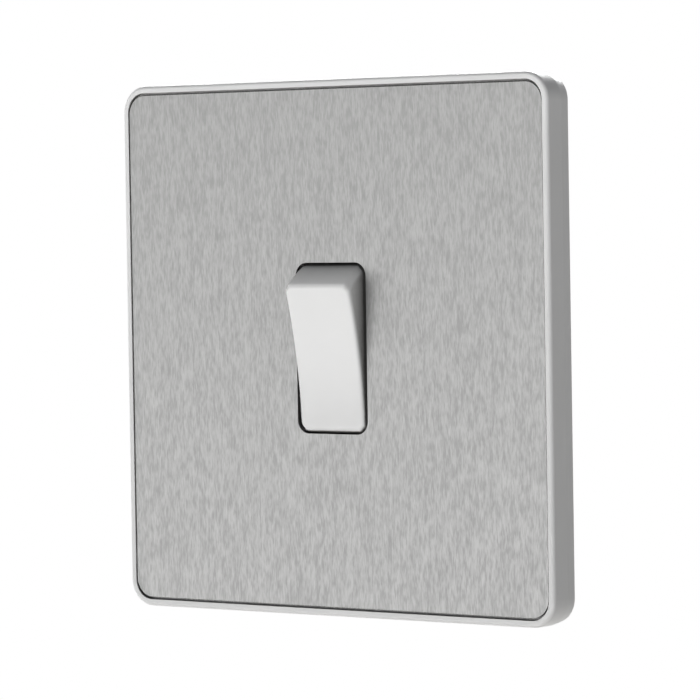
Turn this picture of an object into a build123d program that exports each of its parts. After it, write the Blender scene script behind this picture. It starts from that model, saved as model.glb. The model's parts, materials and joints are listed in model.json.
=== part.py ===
from build123d import *
from math import asin, cos, degrees, pi, radians, sin, sqrt
import os

# One-gang intermediate light switch behind a clip-on square plate. Millimetres.
# X runs right, Z up, and the front faces -Y. The origin is the middle of the plate on the wall
# plane, halfway between the two fixing slots. A "front" is a smaller y than the "back" of the
# same piece. The rocker and the blades are drawn level, then tipped to where they rest in the
# photograph: lower end pressed in, upper contacts closed.

# Plate: a steel sheet let into a moulded surround
plate_side = 95.0
plate_stand = 6.5
rim_width = 1.2
rim_proud = 0.2
groove_side = 0.2
groove_end = 0.5
steel_thick = 0.6
moulding_wall = 1.6
outer_corner = 4.8
rim_rounding = 0.6
side_lean = 8.0
lean_depth = 2.4
aperture_side_gap = 0.7
aperture_end_gap = 0.35
aperture_corner = 2.4
prise_notch_width = 9.0
prise_notch_depth = 1.4

recess_side = plate_side - 2 * rim_width
steel_width = recess_side - 2 * groove_side
steel_height = recess_side - 2 * groove_end
recess_corner = outer_corner - rim_width
steel_front = -(plate_stand - rim_proud)
steel_back = steel_front + steel_thick
cover_back = steel_back + moulding_wall

# Mounting plate, screwed to the back box through two slots
mount_inset = 5.5
mount_corner = 3.0
mount_thick = 2.4
mount_rim = 1.6
cover_gap = 0.2
fixing_centres = 60.3
fixing_slot_width = 4.2
fixing_slot_length = 6.2
fixing_pad = 5.2
fixing_pad_raise = 0.6
mount_side = plate_side - 2 * mount_inset
mount_front = -mount_thick
rib_front = cover_back + cover_gap

# Snap legs of the surround and the sprung clips that hold them
leg_x = 30.0
leg_width = 6.0
leg_inset = 4.4
leg_thick = 2.0
leg_back = -0.4
notch_y = -1.7
notch_half_width = 0.9
notch_depth = 0.7
clip_width = 5.0
clip_thick = 0.4
clip_depth = 3.4
clip_lead = 1.2
clip_bite = 0.3
clip_tail = 0.9
window_clear = 0.4
leg_inner_z = mount_side / 2 - leg_inset

# Rocker: its ends are parts of one cylinder about the pivot and its face is dished
pivot_depth = 7.5
rocker_width = 14.3
rocker_radius = 16.35
rocker_corner_angle = 52.7
rocker_skirt_angle = 80.0
rocker_dish = 0.8
rocker_tip = 9.5
rocker_face_wall = 1.6
rocker_end_wall = 1.3
rocker_face_bevel = 0.35
rocker_end_bevel = 1.0
rocker_lobe_back = 2.6
rocker_lobe_half = 3.2
trunnion_radius = 1.6
trunnion_reach = 2.0
running_clearance = 0.05
pivot_y = steel_front + pivot_depth
aperture_width = rocker_width + 2 * aperture_side_gap
aperture_height = 2 * (sqrt(rocker_radius ** 2 - (pivot_y - steel_back) ** 2) + aperture_end_gap)

# The two poles: sprung plungers in the rocker push on see-saw blades
pole_x = 3.9
pivot_to_blade = 8.8
blade_tip = 7.5
blade_width = 5.0
blade_half_length = 11.5
blade_thick = 1.0
blade_guide_half = 4.5
blade_guide_thick = 0.6
knife_radius = 0.4
plunger_radius = 1.4
plunger_bore = 0.95
plunger_bore_end = 4.6
plunger_nose_radius = 0.6
plunger_back = 0.6
plunger_mid_gap = 0.05
tube_radius = 2.2
tube_end = 4.2
socket_floor = -3.0
socket_clearance = 0.08
spring_radius = 0.7
spring_wire = 0.25
spring_turns = 5
spring_steps = 8
blade_y = pivot_y + pivot_to_blade

# Contacts
contact_z = 10.0
contact_half = 1.5
contact_flat_half = 0.9
contact_base = 0.35
contact_crown = 0.4
contact_gap = 0.02
fixed_contact_height = 0.7

# Conducting strips
strip_thick = 0.8
strip_width = 3.2
tab_width = 4.4
tab_height = 4.0
saddle_depth = 1.3
crossing_gap = 0.9
common_run_gap = 0.4

# Terminals
terminal_inset = 5.5
block_width = 6.4
block_length = 6.8
block_depth = 7.0
block_end_wall = 0.8
cable_radius = 2.2
screw_radius = 1.5
screw_length = 3.9
screw_slot_width = 0.7
screw_slot_depth = 0.9
tail_lap = 4.0

# Module housing: front shell moulded with the mounting plate, rear base screwed to it
module_width = 36.0
module_height = 45.0
module_corner = 2.0
shell_wall = 1.6
shell_back = 8.2
opening_side_gap = 0.7
opening_end_gap = 1.0
saddle_rib_thick = 2.0
saddle_rib_half = 4.5
fit = 0.1
cavity_side_gap = 0.5
cavity_end_gap = 1.1
barrier_thick = 1.2
base_rear_wall = 1.0
collar_height = 1.2
collar_width = 5.8
cable_entry_half = 3.0
cable_entry_depth = 2.5
housing_screw_inset = 3.4
housing_screw_z = 2.0
housing_screw_radius = 1.45
housing_head_radius = 2.5
housing_head_height = 1.8
housing_boss_radius = 2.6
hold_post = 3.0

# Earth terminal for the steel plate
earth_x = -26.0
earth_z = -20.0
earth_strip_width = 5.0
earth_strip_thick = 0.4
earth_slot_z = -15.0
earth_knee = 0.6
earth_rise = 4.2
earth_tip = 3.0
earth_tip_back = 1.0
earth_window_clear = 1.1

# Places that follow from the sizes above
contact_tip = contact_base + contact_crown
plunger_tip_centre = blade_y - pivot_y - blade_thick - plunger_radius - plunger_mid_gap
fixed_contact_front = (
    blade_y
    + contact_tip * cos(radians(blade_tip))
    + (contact_z + contact_flat_half) * sin(radians(blade_tip))
    + contact_gap
)
strip_front = fixed_contact_front + fixed_contact_height
strip_back = strip_front + strip_thick
crossing_front = strip_back + crossing_gap
crossing_back = crossing_front + strip_thick
common_front = blade_y + saddle_depth
common_back = common_front + strip_thick
block_front = strip_back
block_back = block_front + block_depth
cable_y = block_front + block_end_wall + cable_radius
screw_front = cable_y + cable_radius + running_clearance
base_back = block_back + base_rear_wall
collar_back = base_back + collar_height
terminal_x = module_width / 2 - terminal_inset
block_outer_z = module_height / 2 - cable_entry_depth
block_inner_z = block_outer_z - block_length
block_middle_z = (block_inner_z + block_outer_z) / 2
tail_end_z = block_inner_z + tail_lap
tab_inner_z = contact_z - tab_height / 2
common_run_z = trunnion_radius + common_run_gap + strip_width / 2
opening_width = rocker_width + 2 * opening_side_gap
opening_height = 2 * (rocker_radius + opening_end_gap)
cavity_half_width = pole_x + blade_width / 2 + cavity_side_gap
cavity_half_height = blade_half_length + cavity_end_gap
housing_screw_x = module_width / 2 - housing_screw_inset
saddle_rib_x = (rocker_width / 2 + 2 * fit, rocker_width / 2 + 2 * fit + saddle_rib_thick)
earth_window_width = earth_strip_width + 2 * earth_window_clear
earth_window_height = earth_rise + earth_tip + earth_window_clear


def slab(outline, back, front):
    """Fill an outline drawn in X and Z between two depths."""
    plane = Plane(origin=(0, back, 0), x_dir=(1, 0, 0), z_dir=(0, -1, 0))
    return extrude(plane * outline, amount=back - front)


def across(outline, left, right):
    """Fill an outline drawn in Y and Z between two sides."""
    plane = Plane(origin=(left, 0, 0), x_dir=(0, 1, 0), z_dir=(1, 0, 0))
    return extrude(plane * outline, amount=right - left)


def outline_of(points):
    """A flat shape with straight sides between its corners."""
    return make_face(Polyline(*points, close=True))


def block(x_range, y_range, z_range):
    """A box from its three ranges."""
    spans = [sorted(pair) for pair in (x_range, y_range, z_range)]
    middle = [(low + high) / 2 for low, high in spans]
    size = [high - low for low, high in spans]
    return Pos(*middle) * Box(*size)


def rod_y(radius, x, z, front, back):
    return slab(Pos(x, z) * Circle(radius), back, front)


def cone_y(radius, tip_radius, x, z, front, back):
    """A cone cut short, wide in front and narrow behind."""
    place = Plane(origin=(x, (front + back) / 2, z), x_dir=(1, 0, 0), z_dir=(0, 1, 0))
    return place * Cone(radius, tip_radius, back - front)


def rod_z(radius, x, y, low, high):
    return Pos(x, y, (low + high) / 2) * Cylinder(radius, high - low)


def tipped(shape, y, angle):
    """Turn a piece about the crosswise axis at depth y; positive brings its top end forward."""
    return shape.rotate(Axis((0, y, 0), (1, 0, 0)), angle)


def mirrored(shape, side):
    """The piece as drawn on the right (+1), or its twin on the left (-1)."""
    return shape if side > 0 else mirror(shape, Plane.YZ)


def save(shape, name):
    export_step(shape, "parts/" + name + ".step")


# Front plate

def aperture():
    return RectangleRounded(aperture_width, aperture_height, aperture_corner)


def front_plate():
    outline = RectangleRounded(steel_width, steel_height, recess_corner - groove_side)
    return slab(outline - aperture(), steel_back, steel_front)


def snap_leg(x, side):
    """One leg behind the surround, with a notch that the sprung clip drops into."""
    width = (x - leg_width / 2, x + leg_width / 2)
    leg = block(width, (cover_back, leg_back), (side * leg_inner_z, side * (leg_inner_z + leg_thick)))
    notch = outline_of([
        (notch_y - notch_half_width, side * leg_inner_z),
        (notch_y, side * (leg_inner_z + notch_depth)),
        (notch_y + notch_half_width, side * leg_inner_z),
    ])
    return leg - across(notch, *width)


def surround_outside():
    """The outer shape: sides that stand straight in front and lean in toward the wall."""
    outline = RectangleRounded(plate_side, plate_side, outer_corner)
    body = slab(outline, -lean_depth, -plate_stand)
    toward_wall = Plane(origin=(0, -lean_depth, 0), x_dir=(1, 0, 0), z_dir=(0, 1, 0))
    return body + extrude(toward_wall * outline, amount=lean_depth, taper=side_lean)


def plate_surround():
    body = surround_outside()
    body = fillet(body.faces().sort_by(Axis.Y)[0].edges(), rim_rounding)
    body -= slab(RectangleRounded(recess_side, recess_side, recess_corner), steel_back, -plate_stand)
    hollow_side = plate_side - 2 * moulding_wall
    body -= slab(RectangleRounded(hollow_side, hollow_side, outer_corner - moulding_wall), 0, cover_back)
    relief = 2 * moulding_wall
    opening = RectangleRounded(aperture_width + relief, aperture_height + relief, aperture_corner)
    body -= slab(opening, cover_back, steel_back)
    window = Rectangle(earth_window_width, earth_window_height)
    window_z = earth_slot_z + earth_window_height / 2
    body -= slab(Pos(earth_x, window_z) * window, cover_back, steel_back)
    notch_x = (-prise_notch_width / 2, prise_notch_width / 2)
    body -= block(notch_x, (-prise_notch_depth, 0), (-plate_side / 2, -hollow_side / 2))
    for x in (-leg_x, leg_x):
        for side in (-1, 1):
            body += snap_leg(x, side)
    return body


def plate_clip(x, side):
    """A bent spring strip that stands in the mounting plate and bulges into the leg's notch."""
    inner = leg_inner_z - clip_depth
    front = rib_front + clip_thick / 2
    outer_face = Polyline(
        (-clip_thick / 2, inner),
        (front, inner),
        (front, leg_inner_z - clip_lead),
        (notch_y, leg_inner_z + clip_bite),
        (-clip_thick, leg_inner_z - clip_tail),
    )
    edge_view = make_face(offset(outer_face, clip_thick, kind=Kind.INTERSECTION, side=Side.RIGHT))
    strip = across(edge_view, x - clip_width / 2, x + clip_width / 2)
    return strip if side > 0 else mirror(strip, Plane.XY)


def plate_clips():
    return Compound([plate_clip(x, side) for x in (-leg_x, leg_x) for side in (-1, 1)])


# Mounting plate and front shell

def clip_window(x, side):
    width = leg_width + 2 * window_clear
    inner = leg_inner_z - clip_depth
    outer = leg_inner_z + leg_thick + window_clear
    return block((x - width / 2, x + width / 2), (mount_front, 0), (side * inner, side * outer))


def fixing_slots():
    slot = SlotOverall(fixing_slot_length, fixing_slot_width)
    return [Pos(side * fixing_centres / 2, 0) * slot for side in (-1, 1)]


def trunnion_rib(side):
    depth = (mount_front, shell_back)
    return mirrored(block(saddle_rib_x, depth, (-saddle_rib_half, saddle_rib_half)), side)


def trunnion_slot(side):
    """The bearing of one trunnion, cut in plate and rib and open to the back."""
    slot_radius = trunnion_radius + running_clearance
    slot = across(Pos(pivot_y, 0) * Circle(slot_radius), *saddle_rib_x)
    slot += block(saddle_rib_x, (pivot_y, shell_back), (-slot_radius, slot_radius))
    return mirrored(slot, side)


def housing_boss(side):
    return rod_y(housing_boss_radius, side * housing_screw_x, housing_screw_z, 0, shell_back)


def housing_pilot(side):
    radius = housing_screw_radius + fit / 4
    return rod_y(radius, side * housing_screw_x, housing_screw_z, shell_wall, shell_back)


def terminal_places():
    """The four terminals, as side of X and side of Z."""
    return [(x_side, z_side) for x_side in (-1, 1) for z_side in (-1, 1)]


def earth_pocket():
    """Walls behind the mounting plate that hold the earth block on three sides."""
    half_width = block_width / 2 + fit
    half_height = (block_outer_z - block_inner_z) / 2 + fit
    outer = slab(
        Pos(earth_x, earth_z) * Rectangle(2 * (half_width + shell_wall), 2 * (half_height + shell_wall)),
        block_depth - shell_wall,
        0,
    )
    inner = block(
        (earth_x - half_width, earth_x + half_width),
        (0, block_depth),
        (earth_z - half_height - 2 * shell_wall, earth_z + half_height),
    )
    return outer - inner


def mounting_plate():
    outline = RectangleRounded(mount_side, mount_side, mount_corner)
    inner_side = mount_side - 2 * mount_rim
    body = slab(outline, 0, mount_front)
    body += slab(outline - Rectangle(inner_side, inner_side), mount_front, rib_front)
    collar = RectangleRounded(opening_width + 2 * mount_rim, opening_height + 2 * mount_rim, mount_corner)
    body += slab(collar, mount_front, rib_front)
    half = inner_side / 2
    for side in (-1, 1):
        rib_z = (side * opening_height / 2, side * (opening_height / 2 + mount_rim))
        body += block((-half, half), (mount_front, rib_front), rib_z)
        pad = Pos(side * fixing_centres / 2, 0) * Rectangle(2 * fixing_pad, 2 * fixing_pad)
        body += slab(pad, 0, mount_front - fixing_pad_raise)
    shell = RectangleRounded(module_width, module_height, module_corner)
    shell -= Rectangle(module_width - 2 * shell_wall, module_height - 2 * shell_wall)
    body += slab(shell, shell_back, 0)
    body -= slab(Rectangle(opening_width, opening_height), 0, rib_front)
    for side in (-1, 1):
        body += trunnion_rib(side)
        body -= trunnion_slot(side)
        body += housing_boss(side)
        body -= housing_pilot(side)
    for x_side, z_side in terminal_places():
        place = Pos(x_side * terminal_x, z_side * (block_middle_z - hold_post / 4))
        body += slab(place * Rectangle(hold_post, hold_post), strip_front - running_clearance, 0)
    body += earth_pocket()
    for slot in fixing_slots():
        body -= slab(slot, 0, rib_front)
    for x in (-leg_x, leg_x):
        for side in (-1, 1):
            body -= clip_window(x, side)
    strip_half = earth_strip_width / 2 + fit
    strip_x = (earth_x - strip_half, earth_x + strip_half)
    slot_top = earth_slot_z + earth_strip_thick
    body -= block(strip_x, (mount_front, 0), (earth_slot_z - earth_strip_thick, slot_top))
    body -= block(strip_x, (0, earth_strip_thick + fit), (earth_z, slot_top))
    return body


# Rocker and plungers

def on_rocker(radius, angle):
    """A point at a radius from the pivot, the angle measured from straight forward."""
    return (pivot_y - radius * cos(radians(angle)), radius * sin(radians(angle)))


def rocker_outline():
    """Side view, level: dished face, two cylindrical ends and a lobe round the pivot."""
    top = on_rocker(rocker_radius, rocker_corner_angle)
    skirt = on_rocker(rocker_radius, rocker_skirt_angle)
    bulge = on_rocker(rocker_radius, (rocker_corner_angle + rocker_skirt_angle) / 2)
    inside = (skirt[0] + rocker_end_wall, skirt[1] - 2 * rocker_end_wall)
    lobe = (pivot_y + rocker_lobe_back, rocker_lobe_half)
    below = [(y, -z) for y, z in (top, bulge, skirt, inside, lobe)]
    edges = [
        ThreePointArc(below[0], (top[0] + rocker_dish, 0), top),
        ThreePointArc(top, bulge, skirt),
        Polyline(skirt, inside, lobe, below[4], below[3], below[2]),
        ThreePointArc(below[2], below[1], below[0]),
    ]
    return make_face(edges)


def rocker_hollow():
    """Side view of the room inside the rocker, open to the back."""
    radius = rocker_radius - rocker_end_wall
    forward = rocker_radius * cos(radians(rocker_corner_angle)) - rocker_face_wall
    top = (pivot_y - forward, sqrt(radius ** 2 - forward ** 2))
    bulge = on_rocker(radius, (degrees(asin(top[1] / radius)) + 90) / 2)
    side = (pivot_y, radius)
    back = (pivot_y + 2 * tube_end, radius)
    below = [(y, -z) for y, z in (top, bulge, side, back)]
    edges = [
        ThreePointArc(below[0], (top[0] + rocker_dish, 0), top),
        ThreePointArc(top, bulge, side),
        Polyline(side, back, below[3], below[2]),
        ThreePointArc(below[2], below[1], below[0]),
    ]
    return make_face(edges)


def on_rocker_end(edge):
    """True for the curved edges where a cylindrical end meets a side of the rocker."""
    middle = edge @ 0.5
    reach = sqrt((middle.Y - pivot_y) ** 2 + middle.Z ** 2)
    at_side = abs(abs(middle.X) - rocker_width / 2) < running_clearance
    return at_side and abs(reach - rocker_radius) < running_clearance


def rocker():
    half = rocker_width / 2
    body = across(rocker_outline(), -half, half)
    end_edges = [edge for edge in body.edges() if on_rocker_end(edge)]
    body = chamfer(end_edges, rocker_end_bevel)
    body = chamfer(body.faces().sort_by(Axis.Y)[0].edges(), rocker_face_bevel)
    hollow_half = half - rocker_end_wall
    body -= across(rocker_hollow(), -hollow_half, hollow_half)
    face_back = pivot_y - rocker_radius * cos(radians(rocker_corner_angle)) + rocker_face_wall
    for side in (-1, 1):
        body += rod_y(tube_radius, side * pole_x, 0, face_back, pivot_y + tube_end)
    rib_half = rocker_end_wall / 2
    body += block((-rib_half, rib_half), (face_back, pivot_y), (-rocker_lobe_half, rocker_lobe_half))
    for side in (-1, 1):
        socket_radius = plunger_radius + socket_clearance
        body -= rod_y(socket_radius, side * pole_x, 0, pivot_y + socket_floor, pivot_y + tube_end)
        inner = side * half
        outer = side * (half + trunnion_reach)
        body += across(Pos(pivot_y, 0) * Circle(trunnion_radius), *sorted((inner, outer)))
    return tipped(body, pivot_y, rocker_tip)


def plunger(side):
    x = side * pole_x
    tip_y = pivot_y + plunger_tip_centre
    body = rod_y(plunger_radius, x, 0, pivot_y + plunger_back, tip_y)
    nose_length = sqrt(plunger_radius ** 2 - plunger_nose_radius ** 2)
    body += cone_y(plunger_radius, plunger_nose_radius, x, 0, tip_y, tip_y + nose_length)
    body -= rod_y(plunger_bore, x, 0, pivot_y + plunger_back, pivot_y + plunger_bore_end)
    return tipped(body, pivot_y, rocker_tip)


def coil_path(height):
    """A helix in short straight steps, which keeps the smallest pieces light."""
    steps = spring_turns * spring_steps
    turn = [2 * pi * step / spring_steps for step in range(steps + 1)]
    rise = [height * step / steps for step in range(steps + 1)]
    return Polyline(*[(spring_radius * cos(a), spring_radius * sin(a), z) for a, z in zip(turn, rise)])


def plunger_spring(side):
    low = pivot_y + socket_floor + spring_wire
    high = pivot_y + plunger_bore_end - spring_wire
    path = coil_path(high - low - 2 * running_clearance)
    section = Plane(origin=path @ 0, z_dir=path % 0) * Rectangle(spring_wire, spring_wire)
    coil = sweep(section, path=path, transition=Transition.RIGHT)
    place = Plane(
        origin=(side * pole_x, low + running_clearance, 0), x_dir=(1, 0, 0), z_dir=(0, 1, 0)
    )
    return tipped(place * coil, pivot_y, rocker_tip)


# Blades and contacts

def contact_blade(side):
    """A see-saw strip with a groove for the knife edge and low guides for the plunger."""
    x = side * pole_x
    half = blade_width / 2
    strip_y = (blade_y - blade_thick, blade_y)
    body = block((x - half, x + half), strip_y, (-blade_half_length, blade_half_length))
    for edge in (-1, 1):
        outer = x + edge * half
        inner = outer - edge * blade_guide_thick
        guide = (blade_y - 2 * blade_thick, blade_y - blade_thick)
        body += block((inner, outer), guide, (-blade_guide_half, blade_guide_half))
    groove_radius = knife_radius + running_clearance
    body -= across(Pos(blade_y, 0) * Circle(groove_radius), x - half, x + half)
    return tipped(body, blade_y, -blade_tip)


def moving_contact(side, end):
    """A square tip with two sloping edges, set on the back of a blade."""
    x = side * pole_x
    z = end * contact_z
    foot = [(blade_y, contact_half), (blade_y + contact_base, contact_half)]
    crown = [(blade_y + contact_tip, contact_flat_half), (blade_y + contact_tip, -contact_flat_half)]
    heel = [(y, -half) for y, half in reversed(foot)]
    section = Pos(0, z) * outline_of(foot + crown + heel)
    return tipped(across(section, x - contact_half, x + contact_half), blade_y, -blade_tip)


def moving_contacts(side):
    return Compound([moving_contact(side, end) for end in (-1, 1)])


def fixed_contacts():
    """Four square contact faces on the tabs of the crossing strips."""
    face = Rectangle(2 * contact_half, 2 * contact_half)
    faces = []
    for side in (-1, 1):
        for end in (-1, 1):
            place = Pos(side * pole_x, end * contact_z)
            faces.append(slab(place * face, strip_front, fixed_contact_front))
    return Compound(faces)


# Conducting strips, drawn for the right-hand side

def common_terminal(side):
    """The strip that carries a blade on a knife edge and leads down to its terminal block."""
    saddle_half = blade_width / 2 - fit
    low = -common_run_z - strip_width / 2
    high = -common_run_z + strip_width / 2
    outer = terminal_x + strip_width / 2
    inner = terminal_x - strip_width / 2
    level = (common_front, common_back)
    body = block((pole_x - saddle_half, pole_x + saddle_half), level, (low, strip_width / 2))
    body += block((pole_x, outer), level, (low, high))
    body += block((inner, outer), level, (-block_inner_z, high))
    body += block((inner, outer), (common_front, strip_back), (-block_inner_z - strip_thick, -block_inner_z))
    body += block((inner, outer), (strip_front, strip_back), (-tail_end_z, -block_inner_z))
    edge = Pos((blade_y + common_front) / 2, 0) * Rectangle(saddle_depth, 2 * knife_radius)
    edge += Pos(blade_y, 0) * Circle(knife_radius)
    body += across(edge, pole_x - saddle_half, pole_x + saddle_half)
    return mirrored(body, side)


def crossing_bar():
    """The bar between the tabs of a crossing strip, from upper right to lower left."""
    end_z = tab_inner_z - strip_width / 2
    bar = trace(Line((pole_x, end_z), (-pole_x, -end_z)), strip_width)
    for side in (-1, 1):
        bar += Pos(side * pole_x, side * end_z) * Rectangle(strip_width, strip_width)
    return bar


def strip_tabs():
    """Both contact tabs of a crossing strip and the arm out to the upper right terminal."""
    tabs = Pos(pole_x, contact_z) * Rectangle(tab_width, tab_height)
    tabs += Pos(-pole_x, -contact_z) * Rectangle(tab_width, tab_height)
    outer = terminal_x + strip_width / 2
    tabs += Pos((pole_x + outer) / 2, contact_z) * Rectangle(outer - pole_x, strip_width)
    low = contact_z - strip_width / 2
    tabs += Pos(terminal_x, (low + tail_end_z) / 2) * Rectangle(strip_width, tail_end_z - low)
    return tabs


def cross_strip_front():
    """Joins the upper left and lower right contacts, straight across."""
    return mirrored(slab(strip_tabs() + crossing_bar(), strip_back, strip_front), -1)


def joggle(side, clearance):
    """One step of the rear strip, from the contact tab back to the crossing bar."""
    half = strip_width / 2 + clearance
    x_range = (side * pole_x - half, side * pole_x + half)
    z_range = (side * (tab_inner_z - strip_thick - clearance), side * (tab_inner_z + clearance))
    return block(x_range, (strip_front, crossing_back), z_range)


def cross_strip_rear():
    """Joins the upper right and lower left contacts, stepping back behind the other strip."""
    body = slab(strip_tabs(), strip_back, strip_front)
    body += slab(crossing_bar(), crossing_back, crossing_front)
    for side in (-1, 1):
        body += joggle(side, 0)
    return body


# Terminals

def terminal_block(x, front, z_inner, z_outer):
    """A brass block with a blind cable hole from its outer end and a cross hole for the screw."""
    half = block_width / 2
    body = block((x - half, x + half), (front, front + block_depth), (z_inner, z_outer))
    side = 1 if z_outer > z_inner else -1
    bore_y = front + block_end_wall + cable_radius
    ends = sorted((z_inner + side * block_end_wall, z_outer))
    body -= rod_z(cable_radius, x, bore_y, *ends)
    screw_hole = screw_radius + fit / 5
    body -= rod_y(screw_hole, x, (z_inner + z_outer) / 2, bore_y, front + block_depth)
    return body


def terminal_screw(x, z, front):
    """A slotted screw without a head, backed out so that the cable hole is free."""
    body = rod_y(screw_radius, x, z, front, front + screw_length)
    half = screw_slot_width / 2
    back = front + screw_length
    slot = block((x - screw_radius, x + screw_radius), (back - screw_slot_depth, back), (z - half, z + half))
    return body - slot


def terminal_screws():
    screws = []
    for x_side, z_side in terminal_places():
        screws.append(terminal_screw(x_side * terminal_x, z_side * block_middle_z, screw_front))
    return Compound(screws)


# Rear base of the module

def base_channels():
    """Room for the strips, open to the front so that they drop in."""
    tabs = offset(strip_tabs(), fit, kind=Kind.INTERSECTION)
    bar = offset(crossing_bar(), fit, kind=Kind.INTERSECTION)
    cuts = [
        mirrored(slab(tabs, strip_back, shell_back), -1),
        mirrored(slab(bar, strip_back, shell_back), -1),
        slab(tabs, strip_back, shell_back),
        slab(bar, crossing_back, shell_back),
    ]
    return cuts + [joggle(side, fit) for side in (-1, 1)]


def common_channel(side):
    """Room for one common strip outside the middle cavity."""
    low = -common_run_z - strip_width / 2 - fit
    high = -common_run_z + strip_width / 2 + fit
    outer = terminal_x + strip_width / 2 + fit
    inner = terminal_x - strip_width / 2 - fit
    cut = block((cavity_half_width, outer), (shell_back, common_back), (low, high))
    cut += block((inner, outer), (shell_back, common_back), (-block_inner_z, high))
    return mirrored(cut, side)


def block_pocket(x_side, z_side):
    x = x_side * terminal_x
    half = block_width / 2 + fit
    z_range = (z_side * (block_inner_z - fit), z_side * (block_outer_z + fit))
    return block((x - half, x + half), (shell_back, block_back), z_range)


def switch_base():
    """The rear moulding: pockets, channels, a wall between the poles and posts for the pivots."""
    outline = RectangleRounded(module_width, module_height, module_corner)
    body = slab(outline, base_back, shell_back)
    for x_side, z_side in terminal_places():
        collar = Pos(x_side * terminal_x, z_side * block_middle_z) * Rectangle(collar_width, collar_width)
        body += slab(collar, collar_back, base_back)
    cavity_x = (-cavity_half_width, cavity_half_width)
    cavity_z = (-cavity_half_height, cavity_half_height)
    body -= block(cavity_x, (shell_back, strip_front), cavity_z)
    for cut in base_channels():
        body -= cut
    half_wall = barrier_thick / 2
    body += block((-half_wall, half_wall), (shell_back + fit, strip_front - fit), cavity_z)
    for side in (-1, 1):
        body -= common_channel(side)
        pad_x = (side * (pole_x - strip_width / 3), side * cavity_half_width)
        body += block(pad_x, (common_back, strip_front), (-strip_width / 2, strip_width / 2))
        post_x = (saddle_rib_x[0] + fit, saddle_rib_x[1] - fit)
        half = trunnion_radius - fit
        post_front = pivot_y + trunnion_radius + running_clearance
        body += mirrored(block(post_x, (post_front, base_back), (-half, half)), side)
        screw_place = (side * housing_screw_x, housing_screw_z)
        body -= rod_y(housing_screw_radius + fit, *screw_place, shell_back, base_back)
        counterbore = base_back - housing_head_height - fit
        recess = Rectangle(2 * (housing_head_radius + fit), 2 * (housing_head_radius + fit))
        body -= slab(Pos(*screw_place) * recess, base_back, counterbore)
    for x_side, z_side in terminal_places():
        x = x_side * terminal_x
        body -= block_pocket(x_side, z_side)
        body -= rod_y(screw_radius + 2 * fit, x, z_side * block_middle_z, block_back, collar_back)
        entry_x = (x - cable_entry_half, x + cable_entry_half)
        entry_y = (cable_y - cable_entry_half, cable_y + cable_entry_half)
        body -= block(entry_x, entry_y, (z_side * block_outer_z, z_side * module_height / 2))
    return body


def housing_screw(side):
    place = (side * housing_screw_x, housing_screw_z)
    head_front = base_back - housing_head_height
    body = rod_y(housing_screw_radius, *place, shell_wall + fit, head_front)
    body += rod_y(housing_head_radius, *place, head_front, base_back)
    half = screw_slot_width / 2
    x, z = place
    slot_x = (x - housing_head_radius, x + housing_head_radius)
    return body - block(slot_x, (base_back - screw_slot_depth, base_back), (z - half, z + half))


def housing_screws():
    return Compound([housing_screw(side) for side in (-1, 1)])


# Earth terminal

def earth_spring():
    """A strip behind the earth block that comes forward and bears on the steel sheet."""
    half = earth_strip_thick / 2
    contact_y = steel_back + half + contact_gap
    points = [
        (half, earth_z - strip_width),
        (half, earth_slot_z),
        (mount_front - earth_knee, earth_slot_z),
        (contact_y, earth_slot_z + earth_rise),
        (contact_y + earth_tip_back, earth_slot_z + earth_rise + earth_tip),
    ]
    line = FilletPolyline(*points, radius=2 * half)
    width = earth_strip_width / 2
    return across(trace(line, earth_strip_thick), earth_x - width, earth_x + width)


def earth_block():
    half = (block_outer_z - block_inner_z) / 2
    return terminal_block(earth_x, earth_strip_thick, earth_z + half, earth_z - half)


def earth_screw():
    front = earth_strip_thick + block_end_wall + 2 * cable_radius + running_clearance
    return terminal_screw(earth_x, earth_z, front)


def main():
    os.makedirs("parts", exist_ok=True)
    save(front_plate(), "front_plate")
    save(plate_surround(), "plate_surround")
    save(plate_clips(), "plate_clips")
    save(mounting_plate(), "mounting_plate")
    save(switch_base(), "switch_base")
    save(housing_screws(), "housing_screws")
    save(rocker(), "rocker")
    for side, name in ((-1, "left"), (1, "right")):
        save(plunger(side), "plunger_" + name)
        save(plunger_spring(side), "plunger_spring_" + name)
        save(contact_blade(side), "contact_blade_" + name)
        save(moving_contacts(side), "moving_contacts_" + name)
        save(common_terminal(side), "common_terminal_" + name)
        for z_side, level in ((-1, "lower"), (1, "upper")):
            ends = (z_side * block_inner_z, z_side * block_outer_z)
            brass = terminal_block(side * terminal_x, block_front, *ends)
            save(brass, "terminal_block_" + level + "_" + name)
    save(cross_strip_front(), "cross_strip_front")
    save(cross_strip_rear(), "cross_strip_rear")
    save(fixed_contacts(), "fixed_contacts")
    save(terminal_screws(), "terminal_screws")
    save(earth_spring(), "earth_spring")
    save(earth_block(), "earth_block")
    save(earth_screw(), "earth_screw")


main()
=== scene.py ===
import json
from math import cos, pi, radians, sin

import bmesh
import bpy
from mathutils import Matrix, Vector


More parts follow.
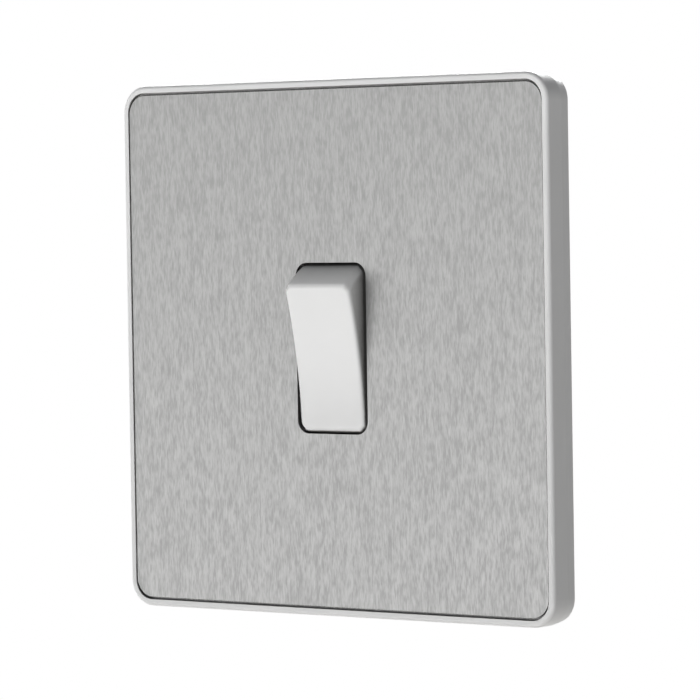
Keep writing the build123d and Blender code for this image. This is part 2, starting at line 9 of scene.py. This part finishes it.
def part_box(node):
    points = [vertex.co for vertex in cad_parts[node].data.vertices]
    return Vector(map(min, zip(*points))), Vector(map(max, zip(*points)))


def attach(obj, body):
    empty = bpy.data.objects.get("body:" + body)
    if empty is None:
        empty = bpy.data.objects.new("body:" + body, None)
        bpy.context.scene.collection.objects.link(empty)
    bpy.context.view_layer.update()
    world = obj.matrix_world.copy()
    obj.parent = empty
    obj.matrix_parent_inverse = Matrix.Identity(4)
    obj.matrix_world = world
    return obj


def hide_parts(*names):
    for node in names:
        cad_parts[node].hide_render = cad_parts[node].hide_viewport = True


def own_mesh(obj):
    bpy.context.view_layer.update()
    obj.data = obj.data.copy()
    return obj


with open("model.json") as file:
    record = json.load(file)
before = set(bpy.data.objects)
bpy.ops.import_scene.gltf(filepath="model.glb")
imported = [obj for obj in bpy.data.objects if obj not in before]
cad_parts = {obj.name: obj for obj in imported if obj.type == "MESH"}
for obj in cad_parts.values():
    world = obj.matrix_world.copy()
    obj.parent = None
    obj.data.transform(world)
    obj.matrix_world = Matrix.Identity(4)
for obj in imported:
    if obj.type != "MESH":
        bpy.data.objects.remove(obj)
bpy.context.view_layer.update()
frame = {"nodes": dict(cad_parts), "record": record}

millimetre = 0.001
white = (1.0, 1.0, 1.0, 1.0)

# Where the photographer stood, in degrees and metres. The two offsets slide the camera across
# its own view so that the plate sits in the picture as it does in the photograph.
camera_azimuth = 37.842
camera_elevation = 1.909
camera_roll = -0.9235
camera_distance = 0.7430
camera_right = 0.003266
camera_up = -0.000274
camera_lens_mm = 216.2
sensor_mm = 36.0
nearest_seen = 0.01
sheet_front_y = -0.0063

# Lamps, each with its place, its size and its watts: a broad panel in front at the lower left, a
# small fill in front at the lower right and a light behind. All face the middle of the plate.
lamps = {
    "panel": ((-0.88, -1.12, -1.00), (1.8, 1.6), 48.6),
    "fill": ((0.33, -0.68, -0.40), (0.3, 0.3), 7.6),
    "back light": ((-0.62, 1.20, 0.40), (1.0, 1.0), 20.0),
}
room_light = (0.095, 0.097, 0.101, 1.0)

# Floor, whose own colour gives way to plain white toward its rim
floor_z = -0.25
floor_half = 0.5
floor_colour = (0.92, 0.89, 0.84, 1.0)
floor_roughness = 0.9
floor_fade_from = 0.3 * floor_half
floor_fade_to = 0.95 * floor_half
floor_whiteness = 0.75

# Edges: the rocker is rounded all over, and the other pieces have their sharp edges broken
rocker_grain = 0.18 * millimetre
rocker_passes = 14
rocker_faces_kept = 0.45
usual_break = 0.08 * millimetre
edge_break = {
    "front_plate": 0.15 * millimetre,
    "plate_surround": 0.15 * millimetre,
    "mounting_plate": 0.2 * millimetre,
    "switch_base": 0.25 * millimetre,
}
flattest_broken_edge = radians(35)

# Plunger springs. Front and back are measured along the plunger's line from the rocker's pivot.
coil_radius = 0.7 * millimetre
wire_radius = 0.125 * millimetre
coil_front = 2.7 * millimetre
coil_back = -4.3 * millimetre
coil_turns = 5
steps_a_turn = 20
wire_sides = 8
closed_share = 0.12

# Grain of brushed metal: the broad strokes as shares of the fine ones' scale
broad_across = 0.35
broad_along = 0.45
fine_share = 0.6

# Where most values of a noise lie
noise_low = 0.3
noise_high = 0.7

# Colours of the strokes on the steel sheet
steel_dark = (0.245, 0.245, 0.243)
steel_light = (0.32, 0.32, 0.316)

# How far clouds in a plastic and marks on a metal change its colour, and its roughness
cloud_dark = 0.975
cloud_light = 1.015
cloud_roughness = 0.08
mark_dark = 0.86
mark_light = 1.08
sheet_roughness_swing = 0.05
metal_roughness_rise = 0.08
metal_roughness_drop = 0.06

# Worn edges: how strongly the wear shows, and how much lighter it is than the piece
plastic_wear = 0.3
plastic_wear_tint = 1.06
plastic_wear_polish = 0.3
sheet_wear = 0.4
sheet_wear_tint = 1.15
metal_wear = 0.5
metal_wear_tint = 1.3

# Dirt in closed places, which on the white plastics is partly painted shade: its colours, and how
# strongly it shows
dust_and_shade_grey = (0.10, 0.097, 0.093, 1.0)
sheet_grime_grey = (0.2, 0.2, 0.2, 1.0)
sheet_grime = 0.35
metal_grime = 0.5
metal_grime_tint = 0.35


# Node trees

class Tree:
    """A thin wrapper that adds nodes and links to a node tree."""

    def __init__(self, node_tree):
        self.nodes = node_tree.nodes
        self.links = node_tree.links

    def add(self, kind, **settings):
        node = self.nodes.new(kind)
        for name, value in settings.items():
            setattr(node, name, value)
        return node

    def feed(self, value, socket):
        """Link a socket, or set a plain value, on another node's input."""
        if isinstance(value, bpy.types.NodeSocket):
            self.links.new(value, socket)
        else:
            socket.default_value = value

    def maths(self, operation, first, second=0.0, clamp=False):
        node = self.add("ShaderNodeMath", operation=operation, use_clamp=clamp)
        self.feed(first, node.inputs[0])
        self.feed(second, node.inputs[1])
        return node.outputs[0]

    def spread(self, value, low, high, to_low=0.0, to_high=1.0):
        """Map a range of values onto another, smoothly at both ends."""
        node = self.add("ShaderNodeMapRange", interpolation_type="SMOOTHSTEP")
        for index, item in enumerate((value, low, high, to_low, to_high)):
            self.feed(item, node.inputs[index])
        return node.outputs[0]

    def mix_colour(self, amount, first, second):
        node = self.add("ShaderNodeMix", data_type="RGBA")
        self.feed(amount, node.inputs["Factor"])
        self.feed(first, node.inputs["A"])
        self.feed(second, node.inputs["B"])
        return node.outputs["Result"]

    def place(self):
        """Where a point lies on its piece, in metres."""
        return self.add("ShaderNodeTexCoord").outputs["Object"]

    def noise(self, place, scale, detail, roughness):
        node = self.add("ShaderNodeTexNoise")
        self.feed(place, node.inputs["Vector"])
        self.feed(scale, node.inputs["Scale"])
        self.feed(detail, node.inputs["Detail"])
        self.feed(roughness, node.inputs["Roughness"])
        return node.outputs["Fac"]


def new_group(name, inputs, outputs):
    """A shader node group with float inputs, given with their defaults, and float outputs."""
    group = bpy.data.node_groups.new(name, "ShaderNodeTree")
    for socket, value in inputs.items():
        made = group.interface.new_socket(socket, in_out="INPUT", socket_type="NodeSocketFloat")
        made.default_value = value
    for socket in outputs:
        group.interface.new_socket(socket, in_out="OUTPUT", socket_type="NodeSocketFloat")
    tree = Tree(group)
    return group, tree, tree.add("NodeGroupInput").outputs, tree.add("NodeGroupOutput").inputs


def strokes(tree, across, along):
    """Noise drawn out into strokes: one scale across the grain in X and Y, another along it in Z."""
    split = tree.add("ShaderNodeSeparateXYZ")
    tree.feed(tree.place(), split.inputs[0])
    join = tree.add("ShaderNodeCombineXYZ")
    for index, scale in enumerate((across, across, along)):
        tree.feed(tree.maths("MULTIPLY", split.outputs[index], scale), join.inputs[index])
    return tree.noise(join.outputs[0], scale=1.0, detail=2.0, roughness=0.6)


def brushed_grain():
    """Short strokes up and down: fine ones laid over broader, softer ones."""
    inputs = {"Across": 3300.0, "Along": 620.0}
    group, tree, given, put = new_group("brushed grain", inputs, ["Shade", "Height"])
    fine = strokes(tree, given["Across"], given["Along"])
    wider = tree.maths("MULTIPLY", given["Across"], broad_across)
    longer = tree.maths("MULTIPLY", given["Along"], broad_along)
    broad = strokes(tree, wider, longer)
    fine_part = tree.maths("MULTIPLY", fine, fine_share)
    broad_part = tree.maths("MULTIPLY", broad, 1.0 - fine_share)
    both = tree.maths("ADD", fine_part, broad_part)
    tree.feed(tree.spread(both, noise_low, noise_high), put["Shade"])
    tree.feed(fine, put["Height"])
    return group


def moulded_skin():
    """The faint orange peel and cloudiness of an injection moulding."""
    inputs = {"Peel": 900.0, "Cloud": 45.0}
    group, tree, given, put = new_group("moulded skin", inputs, ["Shade", "Height"])
    cloud = tree.noise(tree.place(), given["Cloud"], detail=3.0, roughness=0.55)
    tree.feed(tree.spread(cloud, noise_low, noise_high), put["Shade"])
    peel = tree.noise(tree.place(), given["Peel"], detail=2.0, roughness=0.5)
    tree.feed(peel, put["Height"])
    return group


def edge_wear():
    """A mask that is high along outside edges, broken up so that the wear isn't even."""
    inputs = {"Width": 0.3 * millimetre, "Breaks": 700.0}
    group, tree, given, put = new_group("edge wear", inputs, ["Mask"])
    rounded = tree.add("ShaderNodeBevel", samples=4)
    tree.feed(given["Width"], rounded.inputs["Radius"])
    plain = tree.add("ShaderNodeNewGeometry").outputs["Normal"]
    dot = tree.add("ShaderNodeVectorMath", operation="DOT_PRODUCT")
    tree.feed(rounded.outputs[0], dot.inputs[0])
    tree.feed(plain, dot.inputs[1])
    bend = tree.maths("SUBTRACT", 1.0, dot.outputs["Value"], clamp=True)
    edges = tree.spread(bend, low=0.02, high=0.25)
    patches = tree.noise(tree.place(), given["Breaks"], detail=3.0, roughness=0.6)
    breaks = tree.spread(patches, low=0.35, high=0.65)
    tree.feed(tree.maths("MULTIPLY", edges, breaks), put["Mask"])
    return group


def dust_and_painted_shade():
    """A mask for the grey that gathers in corners, from how closed in a place is: dust, and where it
    is laid on strongly, painted shade in corners and hollows.
    """
    inputs = {"Reach": 1.5 * millimetre, "Specks": 1500.0, "Evenness": 0.5}
    group, tree, given, put = new_group("painted_shade_and_dust", inputs, ["Mask"])
    near = tree.add("ShaderNodeAmbientOcclusion", samples=6)
    tree.feed(given["Reach"], near.inputs["Distance"])
    closed_in = tree.maths("SUBTRACT", 1.0, near.outputs["AO"])
    hidden = tree.spread(closed_in, low=0.15, high=0.8)
    patches = tree.noise(tree.place(), given["Specks"], detail=4.0, roughness=0.65)
    specks = tree.spread(patches, low=0.4, high=0.7, to_low=given["Evenness"])
    tree.feed(tree.maths("MULTIPLY", hidden, specks), put["Mask"])
    return group


effects = {
    "grain": brushed_grain(),
    "skin": moulded_skin(),
    "wear": edge_wear(),
    "dust_and_shade": dust_and_painted_shade(),
}


def use_effect(tree, name, **values):
    node = tree.add("ShaderNodeGroup", node_tree=effects[name])
    for socket, value in values.items():
        node.inputs[socket].default_value = value
    return node.outputs


# Finishes

def tinted(colour, factor=1.0):
    """A colour made lighter or darker, with its opacity added."""
    return tuple(min(1.0, part * factor) for part in colour) + (1.0,)


def new_finish(name):
    finish = bpy.data.materials.new(name)
    finish.use_nodes = True
    return finish, Tree(finish.node_tree), finish.node_tree.nodes["Principled BSDF"]


def paint(tree, shader, base, layers):
    """Lay colours over a base. Each layer is a mask, how strongly it shows, and a colour."""
    colour = base
    for mask, strength, over in layers:
        colour = tree.mix_colour(tree.maths("MULTIPLY", mask, strength), colour, over)
    tree.feed(colour, shader.inputs["Base Color"])


def raise_surface(tree, shader, height, depth):
    bump = tree.add("ShaderNodeBump")
    bump.inputs["Distance"].default_value = depth
    bump.inputs["Strength"].default_value = 1.0
    tree.feed(height, bump.inputs["Height"])
    tree.feed(bump.outputs[0], shader.inputs["Normal"])


def plastic(name, colour, roughness, peel=900.0, depth=0.004 * millimetre, dust_and_shade=0.25,
            reach=1.5 * millimetre, evenness=0.5):
    """Injection-moulded plastic: cloudy by about two percent, glossier on its worn edges, and greyed
    in closed places by dust that a high dust strength turns into painted shade.
    """
    finish, tree, shader = new_finish(name)
    skin = use_effect(tree, "skin", Peel=peel)
    worn = use_effect(tree, "wear")["Mask"]
    dust_and_shade_mask = use_effect(tree, "dust_and_shade", Reach=reach, Evenness=evenness)["Mask"]
    cloudy = tree.mix_colour(skin["Shade"], tinted(colour, cloud_dark), tinted(colour, cloud_light))
    rubbed = tinted(colour, plastic_wear_tint)
    # The dust layer is dark grey in closed places: dust where it is weak, painted shade where it is
    # strong.
    paint(tree, shader, cloudy, [(worn, plastic_wear, rubbed), (dust_and_shade_mask, dust_and_shade, dust_and_shade_grey)])
    smoothest = roughness * (1.0 - cloud_roughness)
    roughest = roughness * (1.0 + cloud_roughness)
    rough = tree.spread(skin["Shade"], 0.0, 1.0, smoothest, roughest)
    rubbed_off = tree.maths("MULTIPLY", worn, roughness * plastic_wear_polish)
    tree.feed(tree.maths("SUBTRACT", rough, rubbed_off), shader.inputs["Roughness"])
    raise_surface(tree, shader, skin["Height"], depth)
    return finish


def metal(name, dark, light, layers, grain, roughest, smoothest, depth):
    """Metal whose grain shades it from dark and rough to light and smooth.

    Each layer over that is an effect, the effect's own values, its strength and its colour.
    """
    finish, tree, shader = new_finish(name)
    marks = use_effect(tree, "grain", **grain)
    streaked = tree.mix_colour(marks["Shade"], dark, light)
    masked = [(use_effect(tree, effect, **values)["Mask"], strength, over)
              for effect, values, strength, over in layers]
    paint(tree, shader, streaked, masked)
    shader.inputs["Metallic"].default_value = 1.0
    rough = tree.spread(marks["Shade"], 0.0, 1.0, roughest, smoothest)
    tree.feed(rough, shader.inputs["Roughness"])
    raise_surface(tree, shader, marks["Height"], depth)
    return finish


def brushed_steel(name, roughness):
    """Sheet steel brushed up and down, with bare bright edges where it was cut."""
    layers = [
        ("wear", {}, sheet_wear, tinted(steel_light, sheet_wear_tint)),
        ("dust_and_shade", {}, sheet_grime, sheet_grime_grey),
    ]
    roughest = roughness + sheet_roughness_swing
    smoothest = roughness - sheet_roughness_swing
    return metal(name, tinted(steel_dark), tinted(steel_light), layers, {}, roughest, smoothest,
                 depth=0.012 * millimetre)


def bare_metal(name, colour, roughness, across=2500.0, along=900.0, depth=0.006 * millimetre):
    """Drawn, rolled or sawn metal: fine marks, brighter corners and dull dirt in the recesses."""
    layers = [
        ("wear", {"Width": 0.15 * millimetre}, metal_wear, tinted(colour, metal_wear_tint)),
        ("dust_and_shade", {"Reach": 1.0 * millimetre}, metal_grime, tinted(colour, metal_grime_tint)),
    ]
    grain = {"Across": across, "Along": along}
    roughest = roughness + metal_roughness_rise
    smoothest = roughness - metal_roughness_drop
    return metal(name, tinted(colour, mark_dark), tinted(colour, mark_light), layers, grain,
                 roughest, smoothest, depth)


finishes = {
    "steel_sheet": brushed_steel("brushed steel sheet", roughness=0.52),
    # The surround's strong dust layer is painted shade: it darkens the groove round the steel sheet
    # and the other hollows.
    "surround_white": plastic(
        "white surround", (0.90, 0.90, 0.895), roughness=0.32, dust_and_shade=1.3, evenness=0.8),
    # The rocker's strong, far-reaching dust layer is painted shade: it darkens the upper end and the
    # sides toward the aperture.
    "rocker_white": plastic(
        "white rocker", (0.87, 0.87, 0.865), roughness=0.34, dust_and_shade=2.3, evenness=0.9,
        reach=9.0 * millimetre),
    "mounting_white": plastic(
        "white mounting plate", (0.78, 0.78, 0.77), roughness=0.5, dust_and_shade=0.4,
        depth=0.008 * millimetre),
    "base_moulding": plastic(
        "heat-resistant moulding", (0.70, 0.69, 0.66), roughness=0.55, dust_and_shade=0.5, peel=600.0,
        depth=0.01 * millimetre),
    "plunger_nylon": plastic("natural nylon", (0.72, 0.69, 0.60), roughness=0.42, dust_and_shade=0.3),
    "spring_steel": bare_metal("bright spring wire", (0.62, 0.62, 0.63), roughness=0.25),
    "clip_steel": bare_metal("spring strip", (0.56, 0.56, 0.57), roughness=0.3),
    "strip_copper": bare_metal(
        "rolled copper strip", (0.80, 0.45, 0.30), roughness=0.34, along=200.0),
    "contact_silver": bare_metal("silver contact face", (0.76, 0.75, 0.72), roughness=0.38),
    "terminal_brass": bare_metal(
        "sawn brass", (0.74, 0.55, 0.26), roughness=0.36, along=1600.0,
        depth=0.01 * millimetre),
    "screw_plated": bare_metal(
        "zinc plated steel", (0.60, 0.61, 0.62), roughness=0.3, across=1800.0, along=1800.0),
}


# Pieces of the frame

def soften(piece):
    """Round all edges of a moulding alike, as the polished tool leaves them."""
    even = piece.modifiers.new("even mesh", "REMESH")
    even.mode = "VOXEL"
    even.voxel_size = rocker_grain
    even.use_smooth_shade = True
    rounded = piece.modifiers.new("rounded edges", "SMOOTH")
    rounded.factor = 0.5
    rounded.iterations = rocker_passes
    fewer = piece.modifiers.new("fewer faces", "DECIMATE")
    fewer.ratio = rocker_faces_kept


def break_edges(piece, width):
    """Take the sharpness off every edge that turns by more than a slight angle."""
    bevel = piece.modifiers.new("broken edges", "BEVEL")
    bevel.width = width
    bevel.segments = 2
    bevel.limit_method = "ANGLE"
    bevel.angle_limit = flattest_broken_edge
    bevel.use_clamp_overlap = True
    bevel.harden_normals = True


def dress_nodes():
    """Give every piece of the frame the finish of its slot, and treat its edges."""
    for part in frame["record"]["subparts"]:
        name = part["node"]
        piece = frame["nodes"][name]
        piece.data.materials.clear()
        piece.data.materials.append(finishes[part["material_slot"]])
        if name == "rocker":
            soften(piece)
        else:
            break_edges(piece, edge_break.get(name, usual_break))


# Plunger springs

def coil_height(share):
    """How far the wire has risen: one thickness over each closed end, evenly in between."""
    start = min(share / closed_share, 1.0)
    end = max(0.0, (share - 1.0) / closed_share + 1.0)
    open_part = (share - closed_share) / (1.0 - 2.0 * closed_share)
    climb = coil_front - coil_back - 4.0 * wire_radius
    return 2.0 * wire_radius * (start + end) + climb * min(max(open_part, 0.0), 1.0)


def coil_line(centre, along):
    """Points on the middle of the wire, each with the direction out from the coil's axis."""
    across = Vector((1.0, 0.0, 0.0))
    aside = along.cross(across)
    steps = coil_turns * steps_a_turn
    for step in range(steps + 1):
        turn = 2 * pi * step / steps_a_turn
        outward = cos(turn) * across + sin(turn) * aside
        risen = coil_back + coil_height(step / steps)
        yield centre + risen * along + coil_radius * outward, outward


def wire_ring(wire, middle, outward, along):
    """The vertices round the wire at one point of its line."""
    ring = []
    for side in range(wire_sides):
        angle = 2 * pi * side / wire_sides
        offset = wire_radius * (cos(angle) * outward + sin(angle) * along)
        ring.append(wire.verts.new(middle + offset))
    return ring


def coil_spring(name, centre, along):
    """A round wire wound about a line, starting at its back end."""
    wire = bmesh.new()
    rings = [wire_ring(wire, middle, outward, along)
             for middle, outward in coil_line(centre, along)]
    for first, second in zip(rings, rings[1:]):
        for side in range(wire_sides):
            after = (side + 1) % wire_sides
            wire.faces.new((first[side], first[after], second[after], second[side]))
    for cap in (rings[0], rings[-1]):
        wire.faces.new(cap)
    bmesh.ops.recalc_face_normals(wire, faces=wire.faces)
    for face in wire.faces:
        face.smooth = len(face.verts) != wire_sides
    mesh = bpy.data.meshes.new(name)
    wire.to_mesh(mesh)
    wire.free()
    spring = bpy.data.objects.new(name, mesh)
    bpy.context.scene.collection.objects.link(spring)
    return spring


def plunger_springs():
    """Both springs, as coils that move with the rocker. The real ones shorten as their plungers
    slide forward into the rocker; these keep their length.
    """
    joints = {joint["name"]: joint for joint in frame["record"]["behaviour"]["joints"]}
    pivot = Vector(joints["rocker_pivot"]["pos_m"])
    for hand in ("left", "right"):
        slide = joints[hand + "_plunger_slide"]
        forward = Vector(slide["axis"]).normalized()
        low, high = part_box("plunger_" + hand)
        centre = Vector(((low.x + high.x) / 2, pivot.y, pivot.z))
        spring = coil_spring("wound_spring_" + hand, centre, forward)
        spring.data.materials.append(finishes["spring_steel"])
        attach(spring, "rocker_arm")
        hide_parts("plunger_spring_" + hand)
        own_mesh(spring)


# Studio

def area_lamp(name, place, size, watts):
    """A lamp that faces the middle of the plate and isn't itself in the picture."""
    lamp = bpy.data.lights.new(name, "AREA")
    lamp.shape = "RECTANGLE"
    lamp.size, lamp.size_y = size
    lamp.energy = watts
    holder = bpy.data.objects.new(name, lamp)
    holder.location = place
    holder.rotation_euler = (-Vector(place)).to_track_quat("-Z", "Y").to_euler()
    holder.visible_camera = False
    bpy.context.scene.collection.objects.link(holder)


def seen_by_eye(tree):
    """1 where a thing is seen directly, mirrored in a gloss or through something clear, else 0."""
    path = tree.add("ShaderNodeLightPath").outputs
    looked_at = tree.maths("MAXIMUM", path["Is Camera Ray"], path["Is Glossy Ray"])
    return tree.maths("MAXIMUM", looked_at, path["Is Transmission Ray"])


def world_light():
    """A white backdrop to the eye, and a dim even light to everything else."""
    world = bpy.data.worlds.new("studio")
    bpy.context.scene.world = world
    world.use_nodes = True
    tree = Tree(world.node_tree)
    back = world.node_tree.nodes["Background"]
    tree.feed(tree.mix_colour(seen_by_eye(tree), room_light, white), back.inputs["Color"])


def floor_finish():
    """A pale matt floor that keeps its shadow and looks whiter toward the rim."""
    finish, tree, shader = new_finish("pale floor")
    shader.inputs["Base Color"].default_value = floor_colour
    shader.inputs["Roughness"].default_value = floor_roughness
    shader.inputs["Specular IOR Level"].default_value = 0.0
    glow = tree.add("ShaderNodeEmission")
    glow.inputs["Color"].default_value = white
    reach = tree.add("ShaderNodeVectorMath", operation="LENGTH")
    tree.feed(tree.place(), reach.inputs[0])
    fade = tree.spread(
        reach.outputs["Value"], floor_fade_from, floor_fade_to, floor_whiteness, 1.0)
    blend = tree.add("ShaderNodeMixShader")
    tree.feed(tree.maths("MULTIPLY", seen_by_eye(tree), fade), blend.inputs[0])
    tree.feed(shader.outputs[0], blend.inputs[1])
    tree.feed(glow.outputs[0], blend.inputs[2])
    output = finish.node_tree.nodes["Material Output"]
    tree.feed(blend.outputs[0], output.inputs["Surface"])
    return finish


def floor():
    mesh = bpy.data.meshes.new("floor")
    half = floor_half
    corners = [(-half, -half), (half, -half), (half, half), (-half, half)]
    mesh.from_pydata([(x, y, floor_z) for x, y in corners], [], [(0, 1, 2, 3)])
    mesh.materials.append(floor_finish())
    ground = bpy.data.objects.new("floor", mesh)
    bpy.context.scene.collection.objects.link(ground)


def camera():
    """Stand the camera where the photograph was taken from, turned a little about its own axis."""
    azimuth = radians(camera_azimuth)
    elevation = radians(camera_elevation)
    roll = radians(camera_roll)
    back = Vector((sin(azimuth) * cos(elevation), -cos(azimuth) * cos(elevation), sin(elevation)))
    level = Vector((cos(azimuth), sin(azimuth), 0.0))
    upright = back.cross(level)
    right = cos(roll) * level + sin(roll) * upright
    up = cos(roll) * upright - sin(roll) * level
    middle = Vector((0.0, sheet_front_y, 0.0))
    place = middle + camera_distance * back + camera_right * right + camera_up * up
    data = bpy.data.cameras.new("camera")
    data.sensor_width = sensor_mm
    data.lens = camera_lens_mm
    data.clip_start = nearest_seen
    holder = bpy.data.objects.new("camera", data)
    turned = Matrix((right, up, back)).transposed().to_4x4()
    holder.matrix_world = Matrix.Translation(place) @ turned
    bpy.context.scene.collection.objects.link(holder)
    bpy.context.scene.camera = holder


def studio():
    bpy.context.scene.view_settings.view_transform = "Standard"
    world_light()
    floor()
    for name, (place, size, watts) in lamps.items():
        area_lamp(name, place, size, watts)
    camera()


dress_nodes()
plunger_springs()
studio()
